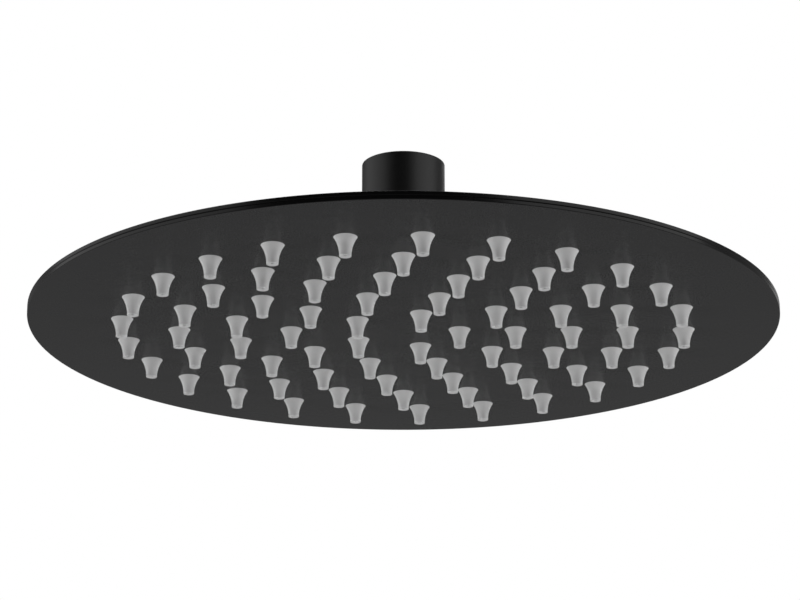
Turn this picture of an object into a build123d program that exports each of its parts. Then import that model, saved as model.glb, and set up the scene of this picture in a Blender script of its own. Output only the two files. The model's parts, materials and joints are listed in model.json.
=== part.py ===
from build123d import *
import os
from math import asin, cos, degrees, radians, sin, sqrt

# Round overhead rain shower head on a ball swivel, in millimetres.
# The origin is on the inlet axis at the collar's mouth, and +Z is up. The head hangs square below it:
# two thin round sheets hold the nozzles, and a gland nut on the upper sheet holds the collar's ball.

# Driving dimensions of the head
HEAD_DIAMETER = 250.0
FACE_TO_MOUTH = 58.7
SHEET = 1.3
CHAMBER_DEPTH = 3.5
HUB_RISE = 2.0
RIM_LAND = 15.0

# Driving dimensions of the nozzle field
RINGS = 5
RING_STEP = 5
RING_PITCH = 18.75
NOZZLE_BASE_DIAMETER = 7.36
NOZZLE_TIP_DIAMETER = 3.76
NOZZLE_LENGTH = 6.25
NOZZLE_OUTLET_DIAMETER = 1.3

# Driving dimensions of the swivel and the inlet
COLLAR_DIAMETER = 28.2
PIPE_THREAD_DIAMETER = 20.955
BALL_DIAMETER = 24.0
BALL_HEIGHT = 25.0
NECK_DIAMETER = 15.0
WATERWAY_DIAMETER = 8.5
NUT_DIAMETER = 32.5
STUB_THREAD_DIAMETER = 27.0
RUNNING_GAP = 0.05

# Levels, each worked out from the face or from the ball's centre
HEAD_RADIUS = HEAD_DIAMETER / 2
FACE_Z = -FACE_TO_MOUTH
SEAM_Z = FACE_Z + SHEET
PAN_UNDER_Z = SEAM_Z + CHAMBER_DEPTH
HUB_UNDER_Z = PAN_UNDER_Z + HUB_RISE
HUB_TOP_Z = HUB_UNDER_Z + SHEET
BALL_Z = FACE_Z + BALL_HEIGHT
BALL_RADIUS = BALL_DIAMETER / 2
STUB_FOOT = 2.0
STUB_FOOT_Z = HUB_TOP_Z + STUB_FOOT
STUB_TOP_Z = BALL_Z - 6.4
SEAL_POCKET_Z = BALL_Z - 11.5
NUT_BOTTOM_Z = STUB_FOOT_Z + 0.6
NUT_TOP_Z = BALL_Z + 9.2
COLLAR_BOTTOM_Z = BALL_Z + 13.6

# Sizes that two pieces share
NOZZLE_NECK_RADIUS = 2.25
SEAM_CHAMFER = 0.2
EDGE_ROUND = 0.1
STUB_SPIGOT_RADIUS = 9.0
SEAL_POCKET_RADIUS = 10.6
SEAL_BACKING = 1.0
LINER_WALL = 1.0
LINER_TOP_ANGLE = 57.0
STEM_SPIGOT_RADIUS = 6.75
STEM_SPIGOT_Z = -14.7
STEM_GROOVE_RADIUS = 5.8
STEM_GROOVE_WIDTH = 1.5
STEM_GROOVE_Z = (COLLAR_BOTTOM_Z + STEM_SPIGOT_Z) / 2
WASHER = 2.0
WASHER_SEAT_Z = -12.2
WASHER_RADIUS = 10.7
WASHER_STEP_RADIUS = 7.4
WASHER_STEP_Z = WASHER_SEAT_Z + WASHER / 2
REGULATOR_RADIUS = 8.9
REGULATOR_FLOOR = 1.0
REGULATOR_CORE_RADIUS = 2.9
REGULATOR_RING_SECTION = 0.6


def turned(outline):
    """Solid turned about the inlet axis from a closed outline drawn as (radius, height)."""
    return revolve(Plane.XZ * make_face(outline.edges()), Axis.Z)


def turned_polygon(*corners):
    """Solid turned about the inlet axis from straight-sided corners given as (radius, height)."""
    return turned(Polyline(*corners, close=True))


def on_ball(radius, polar):
    """Outline point on a sphere about the ball's centre, at an angle from straight up."""
    return radius * sin(radians(polar)), BALL_Z + radius * cos(radians(polar))


def ball_arc(radius, polar_from, polar_to):
    """Arc of a sphere about the ball's centre, between two angles from straight up."""
    return CenterArc((0, BALL_Z), radius, 90 - polar_from, polar_from - polar_to)


def nozzle_places(ring):
    """The evenly spaced places of one ring of nozzles, the first on the +X axis."""
    return list(PolarLocations(ring * RING_PITCH, ring * RING_STEP))


def rim_edges(piece):
    """A round piece's outermost edges, from the lowest to the highest."""
    circles = piece.edges().filter_by(GeomType.CIRCLE)
    return circles.group_by(SortBy.RADIUS)[-1].sort_by(Axis.Z)


def face_plate():
    """Flat sheet with a hole for each nozzle, rounded below and chamfered along the seam."""
    hole_radius = NOZZLE_NECK_RADIUS + RUNNING_GAP
    blank = Circle(HEAD_RADIUS)
    for ring in range(1, RINGS + 1):
        blank -= [place * Circle(hole_radius) for place in nozzle_places(ring)]
    plate = Pos(Z=FACE_Z) * extrude(blank, SHEET)
    plate = fillet(rim_edges(plate)[0], EDGE_ROUND)
    return chamfer(rim_edges(plate)[-1], SEAM_CHAMFER)


def back_plate():
    """Pressed sheet: a flat rim land, a step up to the pan and a raised hub with the stub's hole."""
    middle = SHEET / 2
    land_radius = HEAD_RADIUS - RIM_LAND
    pan_radius = land_radius - 6
    hub_foot_radius = 26
    hub_radius = 22
    press_radius = 2.5
    section = FilletPolyline(
        (STUB_SPIGOT_RADIUS + RUNNING_GAP, HUB_UNDER_Z + middle),
        (hub_radius, HUB_UNDER_Z + middle),
        (hub_foot_radius, PAN_UNDER_Z + middle),
        (pan_radius, PAN_UNDER_Z + middle),
        (land_radius, SEAM_Z + middle),
        (HEAD_RADIUS, SEAM_Z + middle),
        radius=press_radius,
    )
    plate = revolve(Plane.XZ * trace(section, SHEET), Axis.Z)
    plate = chamfer(rim_edges(plate)[0], SEAM_CHAMFER)
    return fillet(rim_edges(plate)[-1], EDGE_ROUND)


def nozzle():
    """Silicone nozzle: inner flange, neck through the sheet, trumpet with a dished tip, tapered waterway."""
    flange_radius = 3.4
    flange_z = SEAM_Z + 1.0
    inlet_radius = 1.5
    base_radius = NOZZLE_BASE_DIAMETER / 2
    tip_radius = NOZZLE_TIP_DIAMETER / 2
    outlet_radius = NOZZLE_OUTLET_DIAMETER / 2
    tip_z = FACE_Z - NOZZLE_LENGTH
    tip_round = 0.15
    dish_radius = 1.4
    dish_depth = 0.35
    flare_radius = 10.5
    plug = Polyline(
        (dish_radius, tip_z),
        (outlet_radius, tip_z + dish_depth),
        (inlet_radius, flange_z),
        (flange_radius, flange_z),
        (flange_radius, SEAM_Z),
        (NOZZLE_NECK_RADIUS, SEAM_Z),
        (NOZZLE_NECK_RADIUS, FACE_Z),
        (base_radius, FACE_Z),
    )
    flare = RadiusArc((base_radius, FACE_Z), (tip_radius, tip_z + tip_round), -flare_radius)
    tip = RadiusArc((tip_radius, tip_z + tip_round), (tip_radius - tip_round, tip_z), tip_round)
    land = Line((tip_radius - tip_round, tip_z), (dish_radius, tip_z))
    return turned(plug + flare + tip + land)


def nozzle_ring(ring):
    """One ring of separate nozzles."""
    plug = nozzle()
    return Compound([place * plug.solid() for place in nozzle_places(ring)])


def stay_posts():
    """Posts between the sheets, in the gaps between nozzle rings, which take the water pressure."""
    post = Pos(Z=SEAM_Z) * Cylinder(2.5, CHAMBER_DEPTH, align=(Align.CENTER, Align.CENTER, Align.MIN))
    inner = PolarLocations(2.5 * RING_PITCH, 5, start_angle=36)
    outer = PolarLocations(4.5 * RING_PITCH, 10, start_angle=18)
    return Compound([place * post.solid() for place in [*inner, *outer]])


def inlet_stub():
    """Turned stub on the back plate: spigot, foot, outside thread and the seal's pocket."""
    bore_radius = 6.0
    foot_radius = 18.0
    thread_radius = STUB_THREAD_DIAMETER / 2
    runout_radius = thread_radius - 0.8
    runout_z = STUB_FOOT_Z + 1.6
    spigot_z = HUB_UNDER_Z - 0.5
    edge = 0.6
    return turned_polygon(
        (bore_radius, spigot_z),
        (STUB_SPIGOT_RADIUS, spigot_z),
        (STUB_SPIGOT_RADIUS, HUB_TOP_Z),
        (foot_radius, HUB_TOP_Z),
        (foot_radius, STUB_FOOT_Z - edge),
        (foot_radius - edge, STUB_FOOT_Z),
        (runout_radius, STUB_FOOT_Z),
        (runout_radius, runout_z),
        (thread_radius, runout_z),
        (thread_radius, STUB_TOP_Z - edge),
        (thread_radius - edge, STUB_TOP_Z),
        (SEAL_POCKET_RADIUS, STUB_TOP_Z),
        (SEAL_POCKET_RADIUS, SEAL_POCKET_Z),
        (bore_radius, SEAL_POCKET_Z),
    )


def ball_nut():
    """Gland nut: a rounded seat over the liner, a skirt over the stub's thread and two spanner flats."""
    seat_radius = BALL_RADIUS + LINER_WALL + 2 * RUNNING_GAP
    seat_angle = LINER_TOP_ANGLE + 0.5
    mouth_radius, mouth_z = on_ball(seat_radius, seat_angle)
    mouth_chamfer = 0.8
    crown_chamfer = 1.2
    skirt_chamfer = 0.6
    outer_radius = NUT_DIAMETER / 2
    thread_radius = STUB_THREAD_DIAMETER / 2 + RUNNING_GAP
    thread_top_z = STUB_TOP_Z + 0.5
    walls = Polyline(
        (seat_radius, BALL_Z),
        (seat_radius, thread_top_z),
        (thread_radius, thread_top_z),
        (thread_radius, NUT_BOTTOM_Z + skirt_chamfer),
        (thread_radius + skirt_chamfer, NUT_BOTTOM_Z),
        (outer_radius, NUT_BOTTOM_Z),
        (outer_radius, NUT_TOP_Z - crown_chamfer),
        (outer_radius - crown_chamfer, NUT_TOP_Z),
        (mouth_radius + mouth_chamfer, NUT_TOP_Z),
        (mouth_radius, NUT_TOP_Z - mouth_chamfer),
        (mouth_radius, mouth_z),
    )
    nut = turned(walls + ball_arc(seat_radius, seat_angle, 90))
    across_flats = 30.0
    flat_length = 10.0
    flat_z = NUT_BOTTOM_Z + 2.0
    for side in (1, -1):
        middle = Pos(0, side * (across_flats + NUT_DIAMETER) / 2, flat_z + flat_length / 2)
        nut -= middle * Box(NUT_DIAMETER, NUT_DIAMETER, flat_length)
    return nut


def ball_stem():
    """Hollow ball, a neck with a rounded root and the threaded spigot that screws into the collar."""
    bore_radius = WATERWAY_DIAMETER / 2
    neck_radius = NECK_DIAMETER / 2
    neck_angle = degrees(asin(neck_radius / BALL_RADIUS))
    bore_angle = 180 - degrees(asin(bore_radius / BALL_RADIUS))
    groove_low_z = STEM_GROOVE_Z - STEM_GROOVE_WIDTH / 2
    groove_high_z = STEM_GROOVE_Z + STEM_GROOVE_WIDTH / 2
    lead = 0.4
    root_round = 1.0
    walls = Polyline(
        on_ball(BALL_RADIUS, bore_angle),
        (bore_radius, STEM_SPIGOT_Z),
        (STEM_SPIGOT_RADIUS - lead, STEM_SPIGOT_Z),
        (STEM_SPIGOT_RADIUS, STEM_SPIGOT_Z - lead),
        (STEM_SPIGOT_RADIUS, groove_high_z),
        (STEM_GROOVE_RADIUS, groove_high_z),
        (STEM_GROOVE_RADIUS, groove_low_z),
        (STEM_SPIGOT_RADIUS, groove_low_z),
        (STEM_SPIGOT_RADIUS, COLLAR_BOTTOM_Z),
        (neck_radius, COLLAR_BOTTOM_Z),
        on_ball(BALL_RADIUS, neck_angle),
    )
    stem = turned(walls + ball_arc(BALL_RADIUS, neck_angle, bore_angle))
    circles = stem.edges().filter_by(GeomType.CIRCLE)
    neck_edges = circles.filter_by(lambda edge: abs(edge.radius - neck_radius) < RUNNING_GAP)
    return fillet(neck_edges.sort_by(Axis.Z)[0], root_round)


def slip_liner():
    """Thin rounded liner between the ball and the nut's seat."""
    bottom_angle = 93.0
    inner_radius = BALL_RADIUS + RUNNING_GAP
    outer_radius = inner_radius + LINER_WALL
    inner = ball_arc(inner_radius, LINER_TOP_ANGLE, bottom_angle)
    outer = ball_arc(outer_radius, LINER_TOP_ANGLE, bottom_angle)
    top = Line(on_ball(inner_radius, LINER_TOP_ANGLE), on_ball(outer_radius, LINER_TOP_ANGLE))
    bottom = Line(on_ball(inner_radius, bottom_angle), on_ball(outer_radius, bottom_angle))
    return turned(inner + bottom + outer + top)


def ball_seal():
    """Rubber ring with a hollowed face that the ball turns on."""
    inner_radius = 7.6
    outer_radius = SEAL_POCKET_RADIUS - RUNNING_GAP
    bottom_z = SEAL_POCKET_Z + SEAL_BACKING
    top_z = STUB_TOP_Z - 0.3
    face_radius = BALL_RADIUS + RUNNING_GAP
    face_top_radius = sqrt(face_radius**2 - (BALL_Z - top_z) ** 2)
    face_top_angle = 180 - degrees(asin(face_top_radius / face_radius))
    face_bottom_angle = 180 - degrees(asin(inner_radius / face_radius))
    walls = Polyline(
        on_ball(face_radius, face_bottom_angle),
        (inner_radius, bottom_z),
        (outer_radius, bottom_z),
        (outer_radius, top_z),
        on_ball(face_radius, face_top_angle),
    )
    return turned(walls + ball_arc(face_radius, face_top_angle, face_bottom_angle))


def seal_backing_ring():
    """Flat ring on the pocket's floor that the seal turns on."""
    inner_radius = 7.6
    outer_radius = SEAL_POCKET_RADIUS - RUNNING_GAP
    return turned_polygon(
        (inner_radius, SEAL_POCKET_Z),
        (outer_radius, SEAL_POCKET_Z),
        (outer_radius, SEAL_POCKET_Z + SEAL_BACKING),
        (inner_radius, SEAL_POCKET_Z + SEAL_BACKING),
    )


def stem_o_ring():
    """O-ring in the stem's groove, against the collar's bore."""
    bore_radius = STEM_SPIGOT_RADIUS + RUNNING_GAP
    middle_radius = (bore_radius + STEM_GROOVE_RADIUS) / 2
    section_radius = (bore_radius - STEM_GROOVE_RADIUS) / 2 - 0.02
    return Pos(Z=STEM_GROOVE_Z) * Torus(middle_radius, section_radius)


def inlet_collar():
    """Plain collar: pipe thread in the mouth, washer groove, regulator chamber and the stem's hole."""
    outer_radius = COLLAR_DIAMETER / 2
    stem_hole_radius = STEM_SPIGOT_RADIUS + RUNNING_GAP
    chamber_radius = REGULATOR_RADIUS + 0.1
    groove_radius = WASHER_RADIUS + 0.2
    groove_top_z = WASHER_SEAT_Z + WASHER + 0.1
    thread_radius = PIPE_THREAD_DIAMETER / 2
    mouth_chamfer = 0.8
    top_round = 0.25
    foot_chamfer = 2.5
    collar = turned_polygon(
        (stem_hole_radius, COLLAR_BOTTOM_Z),
        (outer_radius - foot_chamfer, COLLAR_BOTTOM_Z),
        (outer_radius, COLLAR_BOTTOM_Z + foot_chamfer),
        (outer_radius, 0),
        (thread_radius + mouth_chamfer, 0),
        (thread_radius, -mouth_chamfer),
        (thread_radius, groove_top_z),
        (groove_radius, groove_top_z),
        (groove_radius, WASHER_SEAT_Z),
        (chamber_radius, WASHER_SEAT_Z),
        (chamber_radius, STEM_SPIGOT_Z),
        (stem_hole_radius, STEM_SPIGOT_Z),
    )
    return fillet(rim_edges(collar)[-1], top_round)


def inlet_washer():
    """Flat rubber washer with a step that holds the filter screen."""
    inner_radius = 6.0
    return turned_polygon(
        (inner_radius, WASHER_SEAT_Z),
        (WASHER_RADIUS, WASHER_SEAT_Z),
        (WASHER_RADIUS, WASHER_SEAT_Z + WASHER),
        (WASHER_STEP_RADIUS, WASHER_SEAT_Z + WASHER),
        (WASHER_STEP_RADIUS, WASHER_STEP_Z),
        (inner_radius, WASHER_STEP_Z),
    )


def filter_screen():
    """Round gauze with square meshes inside a plain rim."""
    thickness = 0.35
    mesh_pitch = 1.2
    mesh_opening = 0.85
    mesh_count = 9
    mesh_radius = 5.4
    gauze = Circle(WASHER_STEP_RADIUS - RUNNING_GAP)
    grid = GridLocations(mesh_pitch, mesh_pitch, mesh_count, mesh_count)
    open_places = [place for place in grid if place.position.length < mesh_radius]
    gauze -= [place * Rectangle(mesh_opening, mesh_opening) for place in open_places]
    return Pos(Z=WASHER_STEP_Z) * extrude(gauze, thickness)


def flow_regulator():
    """Moulded disc with a raised rim, a core for the rubber ring and a circle of water holes."""
    rim_inner_radius = 7.2
    rim_z = WASHER_SEAT_Z - 0.2
    floor_z = STEM_SPIGOT_Z + REGULATOR_FLOOR
    core_z = floor_z + 1.1
    hole_radius = 0.8
    hole_circle_radius = 5.6
    hole_count = 12
    disc = turned_polygon(
        (0, STEM_SPIGOT_Z),
        (REGULATOR_RADIUS, STEM_SPIGOT_Z),
        (REGULATOR_RADIUS, rim_z),
        (rim_inner_radius, rim_z),
        (rim_inner_radius, floor_z),
        (REGULATOR_CORE_RADIUS, floor_z),
        (REGULATOR_CORE_RADIUS, core_z),
        (0, core_z),
    )
    hole = Pos(Z=STEM_SPIGOT_Z) * Cylinder(hole_radius, 4 * REGULATOR_FLOOR)
    return disc - [place * hole for place in PolarLocations(hole_circle_radius, hole_count)]


def regulator_ring():
    """Rubber ring round the regulator's core, which narrows the water's path as pressure rises."""
    middle_radius = REGULATOR_CORE_RADIUS + REGULATOR_RING_SECTION + 0.1
    middle_z = STEM_SPIGOT_Z + REGULATOR_FLOOR + REGULATOR_RING_SECTION
    return Pos(Z=middle_z) * Torus(middle_radius, REGULATOR_RING_SECTION)


pieces = {
    "face_plate": face_plate(),
    "back_plate": back_plate(),
    "stay_posts": stay_posts(),
    "inlet_stub": inlet_stub(),
    "ball_nut": ball_nut(),
    "slip_liner": slip_liner(),
    "ball_seal": ball_seal(),
    "seal_backing_ring": seal_backing_ring(),
    "ball_stem": ball_stem(),
    "stem_o_ring": stem_o_ring(),
    "inlet_collar": inlet_collar(),
    "inlet_washer": inlet_washer(),
    "filter_screen": filter_screen(),
    "flow_regulator": flow_regulator(),
    "regulator_ring": regulator_ring(),
}
for ring in range(1, RINGS + 1):
    pieces[f"nozzles_ring_{ring}"] = nozzle_ring(ring)

os.makedirs("parts", exist_ok=True)
for node, shape in pieces.items():
    export_step(shape, f"parts/{node}.step")
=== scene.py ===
import json
import math

import bmesh
import bpy
from mathutils import Matrix, Vector


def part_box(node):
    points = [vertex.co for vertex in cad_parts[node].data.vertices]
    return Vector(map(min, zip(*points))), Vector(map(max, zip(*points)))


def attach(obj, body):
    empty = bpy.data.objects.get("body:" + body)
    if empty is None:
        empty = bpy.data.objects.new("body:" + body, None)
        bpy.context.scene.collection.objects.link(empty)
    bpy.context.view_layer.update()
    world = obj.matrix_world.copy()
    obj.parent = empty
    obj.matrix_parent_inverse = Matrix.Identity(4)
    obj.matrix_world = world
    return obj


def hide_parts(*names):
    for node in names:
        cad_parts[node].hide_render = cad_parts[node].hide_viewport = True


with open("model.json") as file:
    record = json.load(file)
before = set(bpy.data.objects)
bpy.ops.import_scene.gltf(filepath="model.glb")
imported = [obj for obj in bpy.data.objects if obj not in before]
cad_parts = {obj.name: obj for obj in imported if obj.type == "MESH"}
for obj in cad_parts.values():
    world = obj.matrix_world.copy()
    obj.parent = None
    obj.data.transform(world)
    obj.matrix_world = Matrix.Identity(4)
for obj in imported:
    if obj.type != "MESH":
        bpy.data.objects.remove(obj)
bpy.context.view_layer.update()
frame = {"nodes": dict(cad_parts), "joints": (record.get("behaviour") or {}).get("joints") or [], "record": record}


# Face plate
# A flat sheet of stainless steel, punched with a hole for each nozzle and rounded along its lower edge.
# It is coated satin black together with the back plate, and the two meet in a fine groove round the rim.
MM = 0.001
face_low, face_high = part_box("face_plate")
head_radius = face_high.x
sheet = face_high.z - face_low.z
seam_z = face_high.z
rim_steps = 360
lower_round = 0.22 * MM
seam_chamfer = 0.2 * MM
hole_radius = 2.3 * MM
hole_steps = 24
ring_count = 5
first_ring_nozzles = 5
nozzle_base_radius = 3.68 * MM
ring_pitch = (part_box(f"nozzles_ring_{ring_count}")[1].x - nozzle_base_radius) / ring_count


def nozzle_places(ring):
    """Middles of one ring of nozzles, the first on the +X axis."""
    count = ring * first_ring_nozzles
    turns = [Matrix.Rotation(2 * math.pi * index / count, 3, "Z") for index in range(count)]
    return [turn @ Vector((ring * ring_pitch, 0, 0)) for turn in turns]


def soften(bm, edges, size, steps):
    """Rounds edges over, or chamfers them when there is one step."""
    bmesh.ops.bevel(bm, geom=edges, offset=size, segments=steps, profile=0.5, affect="EDGES", material=-1)


def level_edges(bm, height, radius):
    """Edges that lie at one height, on a circle about the inlet axis."""
    near = 0.02 * MM
    ends = {v for v in bm.verts if abs(v.co.z - height) < near and abs(v.co.xy.length - radius) < near}
    return [edge for edge in bm.edges if ends.issuperset(edge.verts)]


def coat_rim_with_painted_shade(bm):
    """Gives a sheet's cut edge a second finish: smoother, glossier, and darker in colour as painted shade."""
    level_normal_z = 0.99
    bm.normal_update()
    for face in bm.faces:
        outermost = face.calc_center_median().xy.length > head_radius - sheet
        face.material_index = int(outermost and abs(face.normal.z) < level_normal_z)


class Value:
    """A socket in a material's tree: sums on it add Math nodes, and node() adds any other node."""

    def __init__(self, tree, socket=None):
        self.tree = tree
        self.socket = socket

    def node(self, kind, settings, inputs, output=0):
        """Adds a node with its settings, then its inputs as values or links, and gives one of its outputs."""
        made = self.tree.nodes.new("ShaderNode" + kind)
        for key, value in settings.items():
            setattr(made, key, value)
        for key, value in inputs.items():
            if isinstance(value, Value):
                self.tree.links.new(value.socket, made.inputs[key])
            else:
                made.inputs[key].default_value = value
        return Value(self.tree, made.outputs[output] if made.outputs else None)

    def sum(self, operation, first, second):
        """Adds a Math node for one operator."""
        return self.node("Math", {"operation": operation}, {0: first, 1: second})

    def __add__(self, other):
        return self.sum("ADD", self, other)

    def __radd__(self, other):
        return self.sum("ADD", other, self)

    def __sub__(self, other):
        return self.sum("SUBTRACT", self, other)

    def __rsub__(self, other):
        return self.sum("SUBTRACT", other, self)

    def __mul__(self, other):
        return self.sum("MULTIPLY", self, other)

    def __rmul__(self, other):
        return self.sum("MULTIPLY", other, self)


def new_finish(name):
    """An empty material, and the place on the piece from which its patterns start."""
    material = bpy.data.materials.new(name)
    material.use_nodes = True
    material.node_tree.nodes.clear()
    return material, Value(material.node_tree).node("TexCoord", {}, {}, "Object")


def noise(place, size, detail=2.0):
    """Cloudy noise from 0 to 1 whose clumps are about the given size in metres."""
    return place.node("TexNoise", {}, {"Vector": place, "Scale": 1 / size, "Detail": detail})


def grey(level, blue=1.0):
    """A neutral colour of one brightness, with its blue a little up or down."""
    return level, level, level * blue, 1


def mix_colour(factor, first, second):
    """Blend of two colours by a factor."""
    return factor.node("Mix", {"data_type": "RGBA"}, {"Factor": factor, "A": first, "B": second}, "Result")


def relief(height, depth, strength=1.0):
    """Fine bumps of the given depth in metres, from a pattern of heights."""
    return height.node("Bump", {}, {"Strength": strength, "Distance": depth, "Height": height})


def shade(tone, gloss, bump, constants):
    """Ends a material with its shader, from patterns of colour, gloss and bumps, and its constants."""
    inputs = {"Base Color": tone, "Roughness": gloss, "Normal": bump, **constants}
    shader = tone.node("BsdfPrincipled", {}, inputs)
    tone.node("OutputMaterial", {}, {"Surface": shader})


def black_coat(name, roughness, peel_height, sheen, body):
    """Satin black coat: very little colour of its own, a faint orange peel and a slightly uneven gloss."""
    material, place = new_finish(name)
    cloud = noise(place, 35 * MM, detail=3.0)
    grain = noise(place, 0.25 * MM, detail=1.0)
    peel = noise(place, 1.1 * MM)
    tone = mix_colour(cloud, grey(body, blue=1.03), grey(1.5 * body, blue=1.03))
    gloss = roughness + (cloud - 0.5) * 0.06 + (grain - 0.5) * 0.05
    bump = relief(peel + grain * 0.2, peel_height)
    shade(tone, gloss, bump, {"Specular IOR Level": sheen})
    return material


def finished(name, bm, finishes, body, slot, *nodes):
    """Mesh object, smooth but for its sharp edges, which rides a body and may stand for CAD nodes."""
    sharp_angle = math.radians(32)
    mesh = bpy.data.meshes.new(name)
    bm.to_mesh(mesh)
    bm.free()
    mesh.shade_smooth()
    mesh.set_sharp_from_angle(angle=sharp_angle)
    for finish in finishes:
        mesh.materials.append(finish)
    piece = bpy.data.objects.new(name, mesh)
    bpy.context.scene.collection.objects.link(piece)
    shading = piece.modifiers.new("flat_faces_stay_flat", "WEIGHTED_NORMAL")
    shading.keep_sharp = True
    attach(piece, body)
    if nodes:
        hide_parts(*nodes)


bm = bmesh.new()
bmesh.ops.create_circle(bm, cap_ends=False, radius=head_radius, segments=rim_steps)
for ring in range(1, ring_count + 1):
    for place in nozzle_places(ring):
        spot = Matrix.Translation(place)
        bmesh.ops.create_circle(bm, cap_ends=False, radius=hole_radius, segments=hole_steps, matrix=spot)
bmesh.ops.triangle_fill(bm, edges=bm.edges[:], use_beauty=True)
raised = bmesh.ops.extrude_face_region(bm, geom=bm.faces[:])["geom"]
raised = [item for item in raised if isinstance(item, bmesh.types.BMVert)]
bmesh.ops.translate(bm, vec=(0, 0, sheet), verts=raised)
bmesh.ops.translate(bm, vec=(0, 0, face_low.z), verts=bm.verts[:])
bmesh.ops.recalc_face_normals(bm, faces=bm.faces[:])
soften(bm, level_edges(bm, face_low.z, head_radius), lower_round, steps=4)
soften(bm, level_edges(bm, seam_z, head_radius), seam_chamfer, steps=1)
coat_rim_with_painted_shade(bm)
sheet_coat = black_coat("satin_black_sheet", roughness=0.27, peel_height=0.012 * MM, sheen=0.14, body=0.016)
# The rim's coat is the sheet's coat made glossier, with a darker colour that is painted shade.
rim_coat_painted_shade = black_coat("satin_black_rim_painted_shade", roughness=0.23, peel_height=0.006 * MM, sheen=0.5, body=0.003)
finished("face_plate_coated", bm, [sheet_coat, rim_coat_painted_shade], "head", "black_sheet", "face_plate")


# Nozzles
# Soft translucent silicone plugs, pressed through the face plate from inside, in five rings.
# Below the sheet each one is a little trumpet with a hair-thin lip and a rounded, dished tip.
# A tapered water hole runs through it from the flange inside to the dish.
lip = 0.04 * MM
tip_radius = 1.88 * MM
tip_round = 0.15 * MM
dish_radius = 1.4 * MM
dish_depth = 0.35 * MM
flare_radius = 10.5 * MM
outlet_radius = 0.65 * MM
inlet_radius = 1.5 * MM
flange_radius = 3.4 * MM
neck_radius = 2.25 * MM
nozzle_low, nozzle_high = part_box("nozzles_ring_1")
nozzle_steps = 40
turning_steps = 192


def arc(start, end, radius, count):
    """Points along an arc between two outline points, its middle on the left for a radius over 0."""
    start, end = Vector(start), Vector(end)
    half = (end - start) / 2
    across = Vector((-half.y, half.x)).normalized()
    rise = math.sqrt(radius * radius - half.length_squared)
    middle = start + half + across * math.copysign(rise, radius)
    sweep = 2 * math.asin(half.length / abs(radius)) * math.copysign(1, radius)
    turns = [Matrix.Rotation(sweep * index / count, 2) for index in range(1, count)]
    return [tuple(middle + turn @ (start - middle)) for turn in turns]


def turned(outline, steps=turning_steps, closed=True):
    """Turns (radius, height) corners about the inlet axis, to a solid or, from an open line, a shell."""
    made = bmesh.new()
    corners = [made.verts.new((radius, 0, height)) for radius, height in outline]
    following = corners[1:] + corners[:1] if closed else corners[1:]
    sides = [made.edges.new(ends) for ends in zip(corners, following)]
    bmesh.ops.spin(
        made,
        geom=corners + sides,
        cent=(0, 0, 0),
        axis=(0, 0, 1),
        angle=2 * math.pi,
        steps=steps,
        use_merge=True,
    )
    bmesh.ops.remove_doubles(made, verts=made.verts[:], dist=0.0005 * MM)
    bmesh.ops.recalc_face_normals(made, faces=made.faces[:])
    return made


def silicone(name):
    """Milky grey silicone: light soaks through it, with faint cloudiness and a soft sheen."""
    material, place = new_finish(name)
    cloud = noise(place, 2.2 * MM)
    grain = noise(place, 0.3 * MM, detail=1.0)
    tone = mix_colour(cloud, grey(0.72), grey(0.80))
    gloss = 0.42 + (cloud - 0.5) * 0.12
    bump = relief(grain, 0.004 * MM)
    soaking = {
        "IOR": 1.41,
        "Subsurface Weight": 1.0,
        "Subsurface Radius": (1.0, 1.0, 1.0),
        "Subsurface Scale": 0.16 * MM,
    }
    shade(tone, gloss, bump, soaking)
    return material


lip_end = (nozzle_base_radius, face_low.z - lip)
tip_start = (tip_radius, nozzle_low.z + tip_round)
tip_end = (tip_radius - tip_round, nozzle_low.z)
nozzle_outline = [
    (outlet_radius, nozzle_low.z + dish_depth),
    (inlet_radius, nozzle_high.z),
    (flange_radius, nozzle_high.z),
    (flange_radius, seam_z),
    (neck_radius, seam_z),
    (neck_radius, face_low.z),
    (nozzle_base_radius - lip, face_low.z),
    lip_end,
    *arc(lip_end, tip_start, flare_radius, count=14),
    tip_start,
    *arc(tip_start, tip_end, -tip_round, count=4),
    tip_end,
    (dish_radius, nozzle_low.z),
]
nozzle = bpy.data.meshes.new("nozzle")
turned(nozzle_outline, nozzle_steps).to_mesh(nozzle)
grey_silicone = silicone("translucent_grey_silicone")
for ring in range(1, ring_count + 1):
    bm = bmesh.new()
    for place in nozzle_places(ring):
        bm.from_mesh(nozzle)
        bm.verts.ensure_lookup_table()
        bmesh.ops.translate(bm, vec=place, verts=bm.verts[-len(nozzle.vertices):])
    name = f"nozzles_ring_{ring}"
    finished(name + "_moulded", bm, [grey_silicone], "head", "silicone", name)


# Stay posts
# Short steel posts, spot welded between the two sheets so that water pressure can't bulge them.
# They are shut inside the head and keep their plain turned shape.
def tool_lines(place, scale, distortion):
    """Fine lines that a cutting tool leaves round a turned piece."""
    settings = {"Vector": place, "Scale": scale, "Distortion": distortion}
    return place.node("TexWave", {"bands_direction": "Z"}, settings, "Fac")


def bare_steel(name, roughness):
    """Plain machined steel with fine turning lines and slightly uneven brightness."""
    material, place = new_finish(name)
    cloud = noise(place, 4 * MM)
    lines = tool_lines(place, scale=2500.0, distortion=1.0)
    tone = mix_colour(cloud, grey(0.48, blue=1.02), grey(0.58, blue=1.02))
    gloss = roughness + (cloud - 0.5) * 0.1
    bump = relief(lines, 0.003 * MM, strength=0.4)
    shade(tone, gloss, bump, {"Metallic": 1.0})
    return material


def dress(node, material):
    """Gives a CAD node, shape unchanged, its finish."""
    mesh = frame["nodes"][node].data
    mesh.materials.clear()
    mesh.materials.append(material)


post_steel = bare_steel("post_steel", roughness=0.35)
dress("stay_posts", post_steel)


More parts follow.
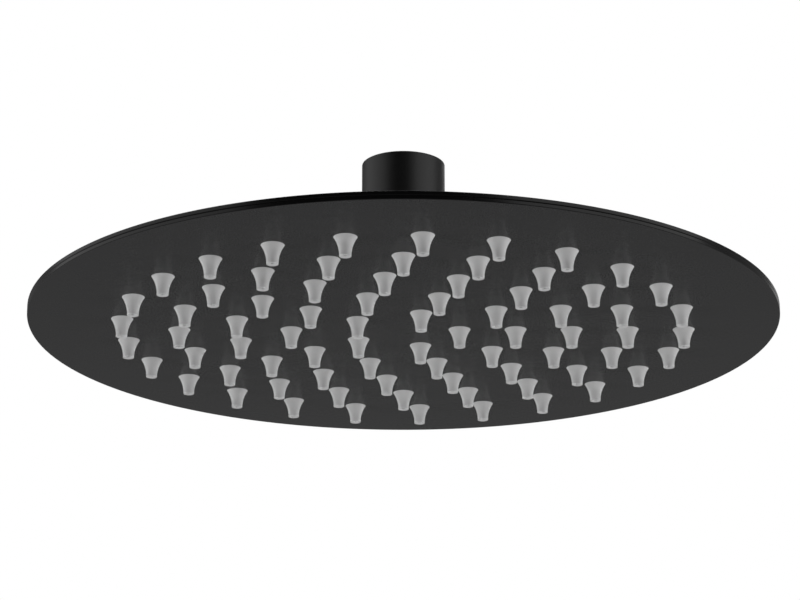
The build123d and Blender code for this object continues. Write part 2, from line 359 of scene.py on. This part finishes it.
# Back plate
# A pressed sheet on top of the face plate: flat rim, a step up to the pan, and a raised hub for the stub.
# It is welded to the face plate along the rim and coated with it.
land_radius = head_radius - 15 * MM
pan_radius = land_radius - 6 * MM
hub_foot_radius = 26 * MM
hub_radius = 22 * MM
stub_hole_radius = 9.05 * MM
press_radius = 2.5 * MM
upper_round = 0.04 * MM
back_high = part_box("back_plate")[1]
hub_under_z = back_high.z - sheet
pan_under_z = hub_under_z - 2 * MM


def rounded(corners, radius, count):
    """An open outline with its inner corners rounded off to one radius."""
    points = [corners[0]]
    for before, corner, after in zip(corners, corners[1:], corners[2:]):
        corner = Vector(corner)
        back = (Vector(before) - corner).normalized()
        ahead = (Vector(after) - corner).normalized()
        reach = radius / math.tan(back.angle(ahead) / 2)
        side = math.copysign(1, back.x * ahead.y - back.y * ahead.x)
        first, last = corner + back * reach, corner + ahead * reach
        points += [tuple(first), *arc(first, last, -side * radius, count), tuple(last)]
    return points + [corners[-1]]


under_line = [
    (stub_hole_radius, hub_under_z),
    (hub_radius, hub_under_z),
    (hub_foot_radius, pan_under_z),
    (pan_radius, pan_under_z),
    (land_radius, seam_z),
    (head_radius, seam_z),
]
bm = turned(rounded(under_line, press_radius, count=5), rim_steps, closed=False)
# With its faces turned down, the shell gets its thickness on top.
bm.faces.ensure_lookup_table()
if bm.faces[0].normal.z > 0:
    bmesh.ops.reverse_faces(bm, faces=bm.faces[:])
bmesh.ops.solidify(bm, geom=bm.faces[:], thickness=sheet)
bmesh.ops.recalc_face_normals(bm, faces=bm.faces[:])
soften(bm, level_edges(bm, seam_z + sheet, head_radius), upper_round, steps=3)
soften(bm, level_edges(bm, seam_z, head_radius), seam_chamfer, steps=1)
# The cut edge gets the rim coat, whose darker colour is painted shade.
coat_rim_with_painted_shade(bm)
finished("back_plate_coated", bm, [sheet_coat, rim_coat_painted_shade], "head", "black_sheet", "back_plate")


# Inlet stub
# A turned brass stub, brazed into the hub of the back plate, with a round foot outside.
# Its outside thread takes the ball nut and its pocket takes the seal.
stub_low, stub_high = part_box("inlet_stub")
foot_radius = stub_high.x
foot_z = back_high.z + 2 * MM
stub_bore_radius = 6 * MM
spigot_radius = 9 * MM
stub_thread_radius = 13.5 * MM
runout_radius = 12.7 * MM
runout_z = foot_z + 1.6 * MM
pocket_radius = 10.6 * MM
stub_chamfer = 0.6 * MM
pocket_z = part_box("seal_backing_ring")[0].z
turned_edge = 0.2 * MM


def softened_turned(outline, steps=turning_steps, size=turned_edge):
    """Turned solid whose sharp edges are broken by a small round."""
    sharp_angle = math.radians(30)
    made = turned(outline, steps)
    sharp = [edge for edge in made.edges if edge.calc_face_angle() > sharp_angle]
    soften(made, sharp, size, steps=2)
    return made


stub = softened_turned(
    [
        (stub_bore_radius, stub_low.z),
        (spigot_radius, stub_low.z),
        (spigot_radius, back_high.z),
        (foot_radius, back_high.z),
        (foot_radius, foot_z - stub_chamfer),
        (foot_radius - stub_chamfer, foot_z),
        (runout_radius, foot_z),
        (runout_radius, runout_z),
        (stub_thread_radius, runout_z),
        (stub_thread_radius, stub_high.z - stub_chamfer),
        (stub_thread_radius - stub_chamfer, stub_high.z),
        (pocket_radius, stub_high.z),
        (pocket_radius, pocket_z),
        (stub_bore_radius, pocket_z),
    ]
)
brass_coat = black_coat("satin_black_brass", roughness=0.42, peel_height=0.008 * MM, sheen=0.5, body=0.01)
finished("inlet_stub_turned", stub, [brass_coat], "head", "black_brass", "inlet_stub")


# Seal and backing ring
# A black rubber ring with a hollow face, on which the ball turns, and the flat acetal ring under it.
# Both lie hidden in the stub's pocket.
def rubber(name):
    """Matt black rubber with a fine moulded grain."""
    material, place = new_finish(name)
    cloud = noise(place, 3 * MM)
    grain = noise(place, 0.12 * MM, detail=1.0)
    tone = mix_colour(cloud, grey(0.016), grey(0.026))
    gloss = 0.62 + (cloud - 0.5) * 0.15
    bump = relief(grain, 0.006 * MM)
    shade(tone, gloss, bump, {})
    return material


def acetal(name):
    """White acetal, faintly mottled, with a soft machined sheen."""
    material, place = new_finish(name)
    cloud = noise(place, 2.5 * MM)
    grain = noise(place, 0.2 * MM, detail=1.0)
    tone = mix_colour(cloud, (0.72, 0.72, 0.69, 1), (0.80, 0.80, 0.77, 1))
    gloss = 0.38 + (cloud - 0.5) * 0.1
    bump = relief(grain, 0.003 * MM)
    shade(tone, gloss, bump, {})
    return material


seal_rubber = rubber("seal_rubber")
white_acetal = acetal("white_acetal")
dress("ball_seal", seal_rubber)
dress("seal_backing_ring", white_acetal)


# Ball stem
# A hollow brass ball with a neck, coated black, whose threaded end screws up into the collar.
# The head hangs from it and tilts and turns about it.
ball_z = frame["joints"][0]["pos_m"][2]
ball_radius = 12 * MM
neck_tube_radius = 7.5 * MM
waterway_radius = 4.25 * MM
stem_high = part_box("ball_stem")[1]
collar_low, collar_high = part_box("inlet_collar")
stem_end_radius = 6.75 * MM
stem_lead = 0.4 * MM
groove_radius = 5.8 * MM
groove_half = 0.75 * MM
groove_z = (collar_low.z + stem_high.z) / 2
root_round = 1.0 * MM


def on_ball(radius, polar):
    """Outline point on a sphere about the ball's middle, at an angle in radians from straight up."""
    return radius * math.sin(polar), ball_z + radius * math.cos(polar)


ball_top_polar = math.asin((neck_tube_radius + root_round) / (ball_radius + root_round))
ball_top = on_ball(ball_radius, ball_top_polar)
neck_foot = (neck_tube_radius, on_ball(ball_radius + root_round, ball_top_polar)[1])
ball_side = (ball_radius, ball_z)
ball_bottom = on_ball(ball_radius, math.pi - math.asin(waterway_radius / ball_radius))
stem = turned(
    [
        ball_bottom,
        (waterway_radius, stem_high.z),
        (stem_end_radius - stem_lead, stem_high.z),
        (stem_end_radius, stem_high.z - stem_lead),
        (stem_end_radius, groove_z + groove_half),
        (groove_radius, groove_z + groove_half),
        (groove_radius, groove_z - groove_half),
        (stem_end_radius, groove_z - groove_half),
        (stem_end_radius, collar_low.z),
        (neck_tube_radius, collar_low.z),
        neck_foot,
        *arc(neck_foot, ball_top, root_round, count=5),
        ball_top,
        *arc(ball_top, ball_side, -ball_radius, count=16),
        ball_side,
        *arc(ball_side, ball_bottom, -ball_radius, count=24),
    ]
)
finished("ball_stem_turned", stem, [brass_coat], "collar", "black_brass", "ball_stem")


# Slip liner
# A thin white acetal cup between the ball and the nut, so that the swivel moves smoothly.
# Only its upper edge shows, in the nut's mouth.
liner_outer_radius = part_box("slip_liner")[1].x
liner_inner_radius = liner_outer_radius - 1.0 * MM
liner_top_polar = math.radians(57)
liner_bottom_polar = math.radians(93)
inner_top = on_ball(liner_inner_radius, liner_top_polar)
inner_bottom = on_ball(liner_inner_radius, liner_bottom_polar)
outer_top = on_ball(liner_outer_radius, liner_top_polar)
outer_bottom = on_ball(liner_outer_radius, liner_bottom_polar)
liner = softened_turned(
    [
        inner_top,
        *arc(inner_top, inner_bottom, -liner_inner_radius, count=12),
        inner_bottom,
        outer_bottom,
        *arc(outer_bottom, outer_top, liner_outer_radius, count=12),
        outer_top,
    ]
)
finished("slip_liner_moulded", liner, [white_acetal], "liner", "acetal", "slip_liner")


# Ball nut
# A turned brass gland nut, coated black, which screws over the stub and holds the ball down on its seal.
# It has two spanner flats, a chamfered crown and a round mouth for the neck.
nut_low, nut_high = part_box("ball_nut")
nut_radius = nut_high.x
nut_steps = 256
seat_radius = 13.1 * MM
mouth_polar = liner_top_polar + math.radians(0.5)
seat_side = (seat_radius, ball_z)
seat_top = on_ball(seat_radius, mouth_polar)
mouth_radius = seat_top[0]
nut_bore_radius = stub_thread_radius + 0.05 * MM
nut_bore_top_z = stub_high.z + 0.5 * MM
crown = 1.2 * MM
mouth_chamfer = 0.8 * MM
skirt_chamfer = 0.6 * MM
flat_half = 15 * MM
flat_low_z = nut_low.z + 2 * MM
flat_high_z = flat_low_z + 10 * MM
# The ledge at each end of a flat, where the round side steps in.
shelf = 0.02 * MM
nut = turned(
    [
        seat_side,
        (seat_radius, nut_bore_top_z),
        (nut_bore_radius, nut_bore_top_z),
        (nut_bore_radius, nut_low.z + skirt_chamfer),
        (nut_bore_radius + skirt_chamfer, nut_low.z),
        (nut_radius - turned_edge, nut_low.z),
        (nut_radius, nut_low.z + turned_edge),
        (nut_radius, flat_low_z),
        (nut_radius, flat_low_z + shelf),
        (nut_radius, flat_high_z - shelf),
        (nut_radius, flat_high_z),
        (nut_radius, nut_high.z - crown),
        (nut_radius - crown, nut_high.z),
        (mouth_radius + mouth_chamfer, nut_high.z),
        (mouth_radius, nut_high.z - mouth_chamfer),
        seat_top,
        *arc(seat_top, seat_side, -seat_radius, count=12),
    ],
    nut_steps,
)
for corner in nut.verts:
    beside_flats = flat_low_z + shelf / 2 < corner.co.z < flat_high_z - shelf / 2
    if beside_flats and corner.co.xy.length > stub_thread_radius:
        corner.co.y = max(-flat_half, min(flat_half, corner.co.y))
bmesh.ops.recalc_face_normals(nut, faces=nut.faces[:])
finished("ball_nut_turned", nut, [brass_coat], "head", "black_brass", "ball_nut")


# Stem O-ring
# A small black rubber ring in the stem's groove, out of sight inside the collar.
# It seals the stem's screwed end.
dress("stem_o_ring", seal_rubber)


# Inlet collar
# A plain turned brass collar, coated black outside, with a pipe thread cut in its mouth, which is left bare.
# A groove below the thread holds the washer, and the stem is screwed in from underneath.
collar_radius = collar_high.x
collar_steps = 256
top_round = 0.25 * MM
top_start = (collar_radius, collar_high.z - top_round)
top_end = (collar_radius - top_round, collar_high.z)
foot_chamfer = 2.5 * MM
inlet = frame["record"]["mounts"][0]["dims"]
thread_radius = inlet["r_mm"] * MM
thread_length = inlet["length_mm"] * MM
lead = 0.8 * MM
thread_low_z = collar_high.z - lead - thread_length
washer_low, washer_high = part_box("inlet_washer")
washer_groove_radius = 10.9 * MM
chamber_radius = 9 * MM
stem_hole_radius = 6.8 * MM


def brass(name):
    """Bare machined brass, dull from handling, with fine tool lines round the bore."""
    material, place = new_finish(name)
    cloud = noise(place, 3 * MM, detail=4.0)
    lines = tool_lines(place, scale=1800.0, distortion=2.0)
    tone = mix_colour(cloud, (0.46, 0.33, 0.14, 1), (0.60, 0.45, 0.20, 1))
    gloss = 0.30 + (cloud - 0.5) * 0.2
    bump = relief(lines, 0.004 * MM, strength=0.5)
    shade(tone, gloss, bump, {"Metallic": 1.0})
    return material


collar = turned(
    [
        (stem_hole_radius, collar_low.z),
        (collar_radius - foot_chamfer, collar_low.z),
        (collar_radius, collar_low.z + foot_chamfer),
        top_start,
        *arc(top_start, top_end, top_round, count=4),
        top_end,
        (thread_radius + lead, collar_high.z),
        (thread_radius, collar_high.z - lead),
        (thread_radius, thread_low_z),
        (washer_groove_radius, thread_low_z),
        (washer_groove_radius, washer_low.z),
        (chamber_radius, washer_low.z),
        (chamber_radius, stem_high.z),
        (stem_hole_radius, stem_high.z),
    ],
    collar_steps,
)
for face in collar.faces:
    spot = face.calc_center_median()
    face.material_index = int(spot.z > thread_low_z and spot.xy.length < thread_radius + lead)
collar_coat = black_coat(
    "satin_black_collar", roughness=0.43, peel_height=0.006 * MM, sheen=0.72, body=0.003
)
bare_brass = brass("bare_brass")
finished("inlet_collar_turned", collar, [collar_coat, bare_brass], "collar", "black_brass", "inlet_collar")


# Pipe thread
# The cut thread inside the collar's mouth, bare brass, as one continuous ridge at the pipe's pitch.
# It runs from the lead-in chamfer down to the washer's groove.
pitch = 1.814 * MM
crest_radius = 9.33 * MM
root_half = 0.84 * MM
crest_half = 0.16 * MM
steps_per_turn = 72
thread_turns = 4.25
fade_turns = 0.3
end_share = 0.1
first_z = thread_low_z + root_half
ridge = [
    (thread_radius, first_z - root_half),
    (crest_radius, first_z - crest_half),
    (crest_radius, first_z + crest_half),
    (thread_radius, first_z + root_half),
]
bm = bmesh.new()
ridge_end = bm.faces.new([bm.verts.new((radius, 0, height)) for radius, height in ridge])
bmesh.ops.spin(
    bm,
    geom=[ridge_end],
    cent=(0, 0, 0),
    axis=(0, 0, 1),
    dvec=(0, 0, pitch / steps_per_turn),
    angle=2 * math.pi * thread_turns,
    steps=int(steps_per_turn * thread_turns),
)
# The crest fades out towards both ends of the ridge.
for corner in bm.verts:
    flat = corner.co.xy
    if flat.length < (thread_radius + crest_radius) / 2:
        turns_done = (corner.co.z - first_z) / pitch
        turns_from_end = min(turns_done, thread_turns - turns_done)
        share = min(1, max(end_share, turns_from_end / fade_turns))
        corner.co.xy = flat.normalized() * (thread_radius + (crest_radius - thread_radius) * share)
bmesh.ops.recalc_face_normals(bm, faces=bm.faces[:])
finished("inlet_thread_ridge", bm, [bare_brass], "collar", "black_brass")


# Flow regulator
# A white acetal disc with a ring of water holes and a rubber ring round its core, under the washer.
# It is seen only through the filter screen.
dress("flow_regulator", white_acetal)
dress("regulator_ring", seal_rubber)


# Inlet washer
# A flat black rubber washer at the bottom of the thread, which the arm's pipe end presses on.
# A step in its bore holds the filter screen.
washer_radius = washer_high.x
washer_bore_radius = 6 * MM
step_radius = 7.4 * MM
step_z = (washer_low.z + washer_high.z) / 2
washer = softened_turned(
    [
        (washer_bore_radius, washer_low.z),
        (washer_radius, washer_low.z),
        (washer_radius, washer_high.z),
        (step_radius, washer_high.z),
        (step_radius, step_z),
        (washer_bore_radius, step_z),
    ]
)
finished("inlet_washer_moulded", washer, [seal_rubber], "collar", "black_rubber", "inlet_washer")


# Filter screen
# Woven stainless gauze inside a flat pressed rim, dropped into the washer's step.
# The wires pass over and under each other in turn.
screen_low, screen_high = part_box("filter_screen")
screen_radius = screen_high.x
screen_z = (screen_low.z + screen_high.z) / 2
screen_steps = 96
screen_edge = 0.1 * MM
rim_inner_radius = 6.2 * MM
wire_radius = 0.08 * MM
wire_pitch = 0.55 * MM
wire_reach = rim_inner_radius + 0.4 * MM
screen = softened_turned(
    [
        (rim_inner_radius, screen_low.z),
        (screen_radius, screen_low.z),
        (screen_radius, screen_high.z),
        (rim_inner_radius, screen_high.z),
    ],
    screen_steps,
    screen_edge,
)
half_count = int(wire_reach / wire_pitch)
for number in range(-half_count, half_count + 1):
    offset = number * wire_pitch
    crossings = int(math.sqrt(wire_reach**2 - offset**2) / wire_pitch)
    for across in (False, True):
        wire = bpy.data.curves.new("wire", "CURVE")
        wire.dimensions = "3D"
        wire.bevel_depth = wire_radius
        wire.bevel_resolution = 1
        wire.use_fill_caps = True
        wire.resolution_u = 3
        path = wire.splines.new("NURBS")
        path.points.add(2 * crossings)
        for index, point in enumerate(path.points):
            step = index - crossings
            along = step * wire_pitch
            flat = (offset, along) if across else (along, offset)
            over = 1 if (step + number + across) % 2 else -1
            point.co = (*flat, screen_z + over * wire_radius, 1)
        path.order_u = 3
        path.use_endpoint_u = True
        holder = bpy.data.objects.new("wire", wire)
        screen.from_mesh(bpy.data.meshes.new_from_object(holder))
        bpy.data.objects.remove(holder)
        bpy.data.curves.remove(wire)
gauze_steel = bare_steel("gauze_steel", roughness=0.38)
finished("filter_screen_woven", screen, [gauze_steel], "collar", "steel", "filter_screen")


# Studio
# A pale, washed floor far below the hanging head, and a white surround that lights it mostly from behind.
# Softboxes stand left, right and behind, one hangs above, and a weak one stands low in front.
# Two more, low at the sides, light the nozzles without being mirrored in the coat.
floor_z = -2.0
floor_size = 60.0
wash_z = floor_z + 0.1
bpy.ops.mesh.primitive_plane_add(size=floor_size, location=(0, 0, floor_z))
floor = bpy.context.object
floor.name = "floor"
floor_paint, place = new_finish("pale_floor")
tone = mix_colour(noise(place, 0.4), grey(0.80), grey(0.82))
paint = tone.node("BsdfPrincipled", {}, {"Base Color": tone, "Roughness": 0.8})
paint.node("OutputMaterial", {}, {"Surface": paint})
floor.data.materials.append(floor_paint)
floor.visible_glossy = False
floor.visible_diffuse = False


def softbox(name, place, width, height, radiance, aim=(0, 0, face_low.z), mirrored=True):
    """Rectangular soft light facing a point, with the given brightness of its face."""
    light = bpy.data.lights.new(name, "AREA")
    light.shape = "RECTANGLE"
    light.size = width
    light.size_y = height
    light.energy = radiance * math.pi * width * height
    lamp = bpy.data.objects.new(name, light)
    lamp.location = place
    lamp.rotation_euler = (Vector(aim) - Vector(place)).to_track_quat("-Z", "Y").to_euler()
    lamp.visible_camera = False
    lamp.visible_glossy = mirrored
    bpy.context.scene.collection.objects.link(lamp)


softbox("left_softbox", (-1.49, -0.12, 0.45), width=2.36, height=1.6, radiance=0.52)
softbox("right_softbox", (1.33, -0.69, 0.45), width=1.95, height=1.6, radiance=0.69)
softbox("right_back_softbox", (0.6, 1.45, 0.42), width=0.8, height=0.6, radiance=0.35)
softbox("low_left_softbox", (-1.4, -0.36, -0.62), width=1.4, height=1.0, radiance=2.98, mirrored=False)
softbox("low_right_softbox", (1.4, -0.36, -0.62), width=1.4, height=1.0, radiance=3.02, mirrored=False)
softbox("low_front_softbox", (0, -1.2, -1.0), width=1.0, height=0.8, radiance=0.4)
softbox("top_softbox", (0.0, 0.5, 1.7), width=2.4, height=1.6, radiance=3.6)
softbox("back_softbox", (0.3, 1.7, 1.2), width=1.4, height=0.9, radiance=1.7)
softbox("floor_wash", (0, 0, wash_z), floor_size, floor_size, radiance=1.12, aim=(0, 0, floor_z))


def eased(value, low, high, first, last):
    """Level that goes smoothly from first to last while a value goes from low to high."""
    ends = {"From Min": low, "From Max": high, "To Min": first, "To Max": last}
    return value.node("MapRange", {"interpolation_type": "SMOOTHSTEP"}, {"Value": value, **ends})


world = bpy.data.worlds.new("white_surround")
world.use_nodes = True
world.node_tree.nodes.clear()
direction = Value(world.node_tree).node("TexCoord", {}, {}, "Generated")
towards_back = direction.node("SeparateXYZ", {}, {"Vector": direction}, "Y")
upwards = direction.node("SeparateXYZ", {}, {"Vector": direction}, "Z")
back_share = eased(towards_back, low=-0.7, high=0.3, first=0.06, last=1.0)
level = eased(upwards, low=-0.4, high=0.3, first=0.265, last=0.12)
lighting = back_share * level
seen = direction.node("LightPath", {}, {}, "Is Camera Ray")
strength = lighting + seen * (1.0 - lighting)
sky = direction.node("Background", {}, {"Color": grey(1.0), "Strength": strength})
direction.node("OutputWorld", {}, {"Surface": sky})
bpy.context.scene.world = world
bpy.context.scene.view_settings.view_transform = "Standard"
bpy.context.scene.view_settings.look = "None"


# Camera
# It stands below the head and in front of it and looks up, as in the picture, through a long lens.
# Its place is given by its distance from the face's middle and its angle below the face.
sensor = 36.0
image_width = 800
focal_pixels = 2735.3
camera_distance = 7.324 * head_radius
below = math.radians(17.70)
pitch_up = math.radians(18.318)
yaw = math.radians(0.076)
camera_data = bpy.data.cameras.new("camera")
camera_data.sensor_width = sensor
camera_data.lens = focal_pixels * sensor / image_width
camera_data.clip_start = 0.05
camera_data.clip_end = 200
camera = bpy.data.objects.new("camera", camera_data)
camera.location = (
    0,
    -camera_distance * math.cos(below),
    face_low.z - camera_distance * math.sin(below),
)
camera.rotation_euler = (math.pi / 2 + pitch_up, 0, yaw)
bpy.context.scene.collection.objects.link(camera)
bpy.context.scene.camera = camera
